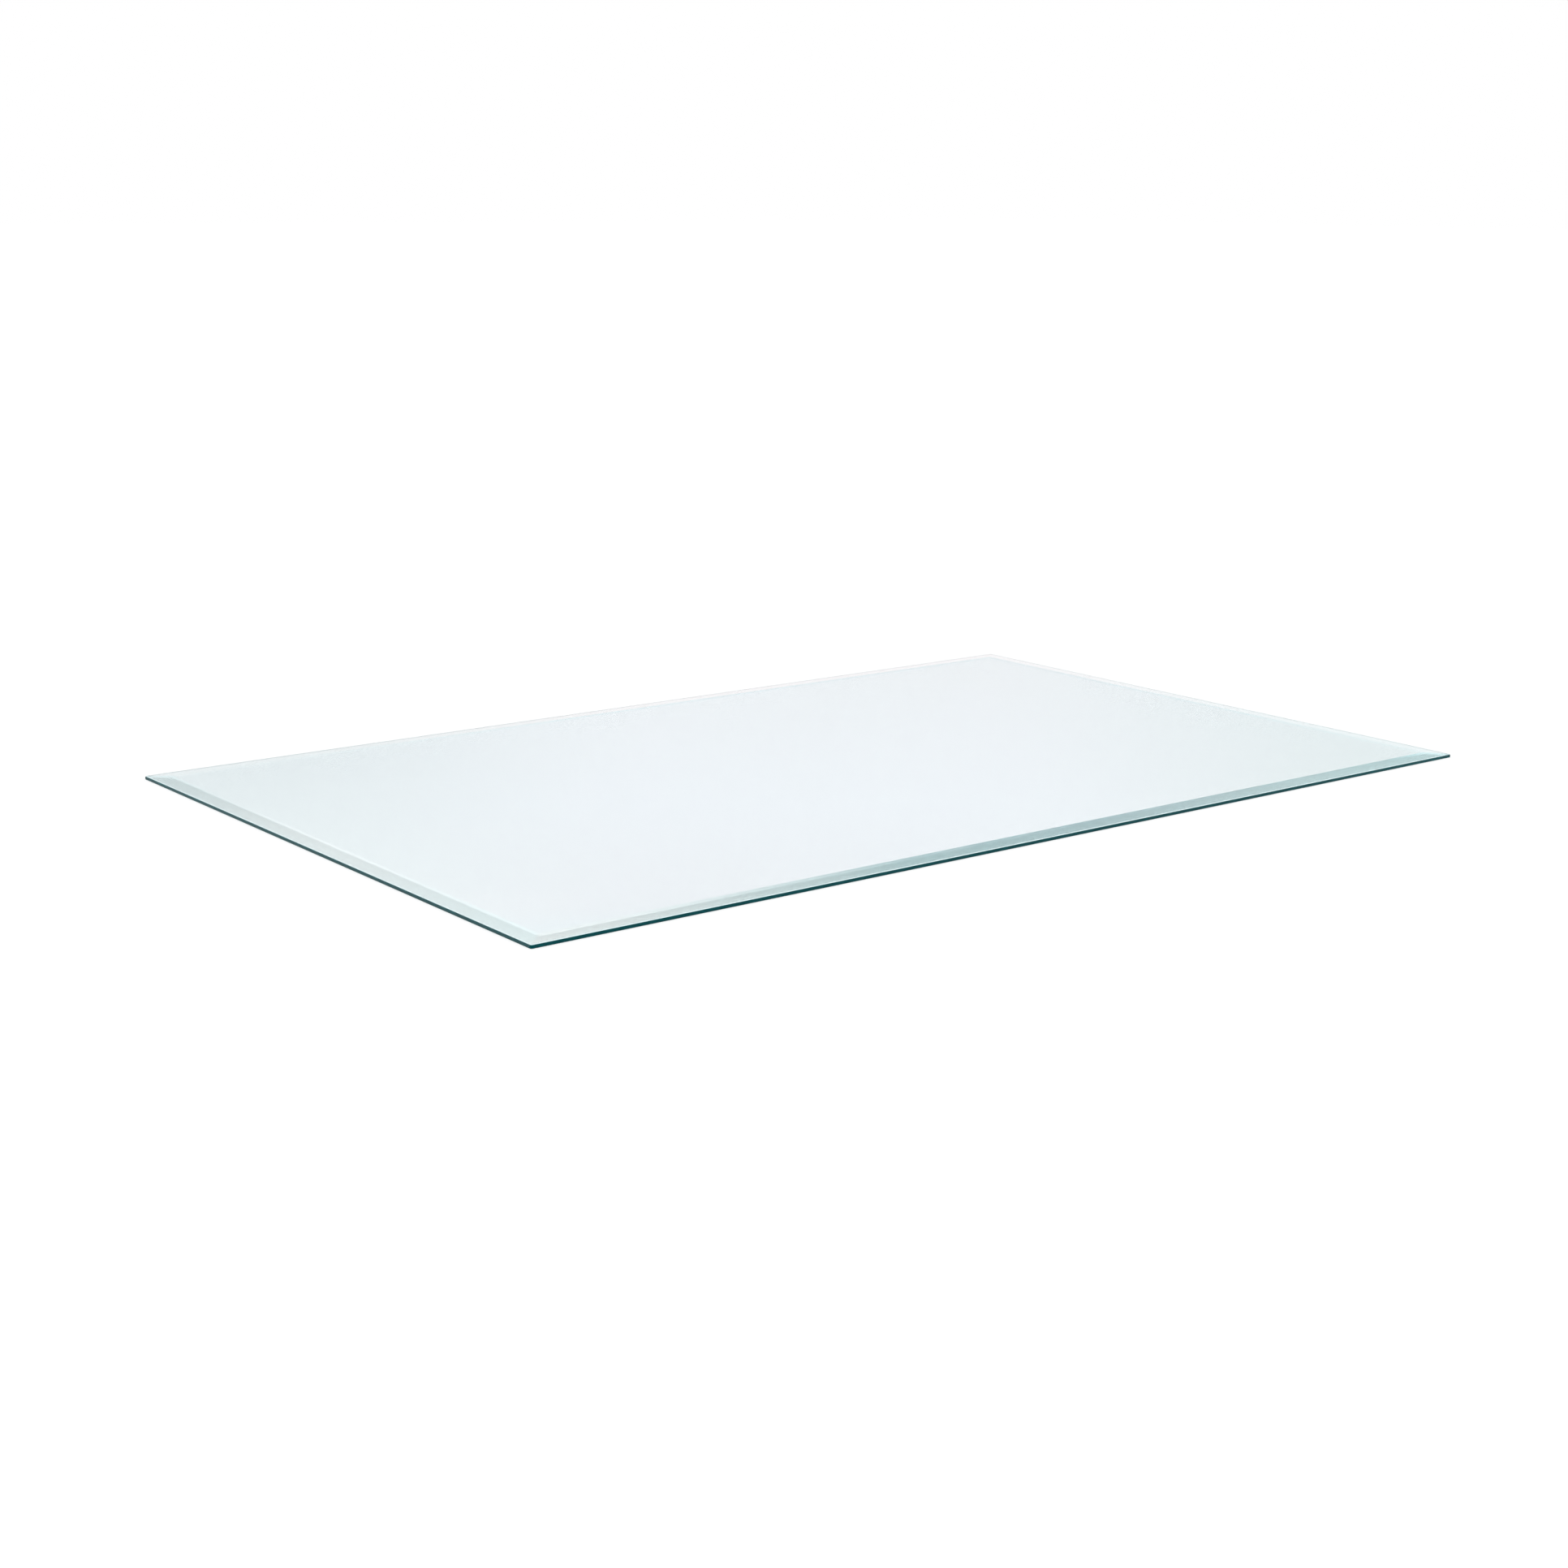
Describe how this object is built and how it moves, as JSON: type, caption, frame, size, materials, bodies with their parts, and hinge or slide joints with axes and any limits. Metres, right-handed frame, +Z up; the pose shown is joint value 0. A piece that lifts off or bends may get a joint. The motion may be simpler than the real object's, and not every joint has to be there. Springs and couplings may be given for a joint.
{
  "type": "chair mat",
  "caption": "Flat rectangular tempered-glass floor mat with a bevelled, polished rim, laid under a rolling office chair to protect carpet or hard flooring.",
  "frame": {"origin": "middle of the underside, on the floor that the mat lies on", "axes": "+X along the long sides, +Y along the short sides, +Z up out of the top face"},
  "size_m": [1.2192, 0.762, 0.0048],
  "materials": {
    "clear_glass": "polished clear float glass with a faint blue-green tint, dark teal at the upright edge"
  },
  "bodies": {
    "root": {"glass_pane": "clear_glass"}
  },
  "joints": []
}
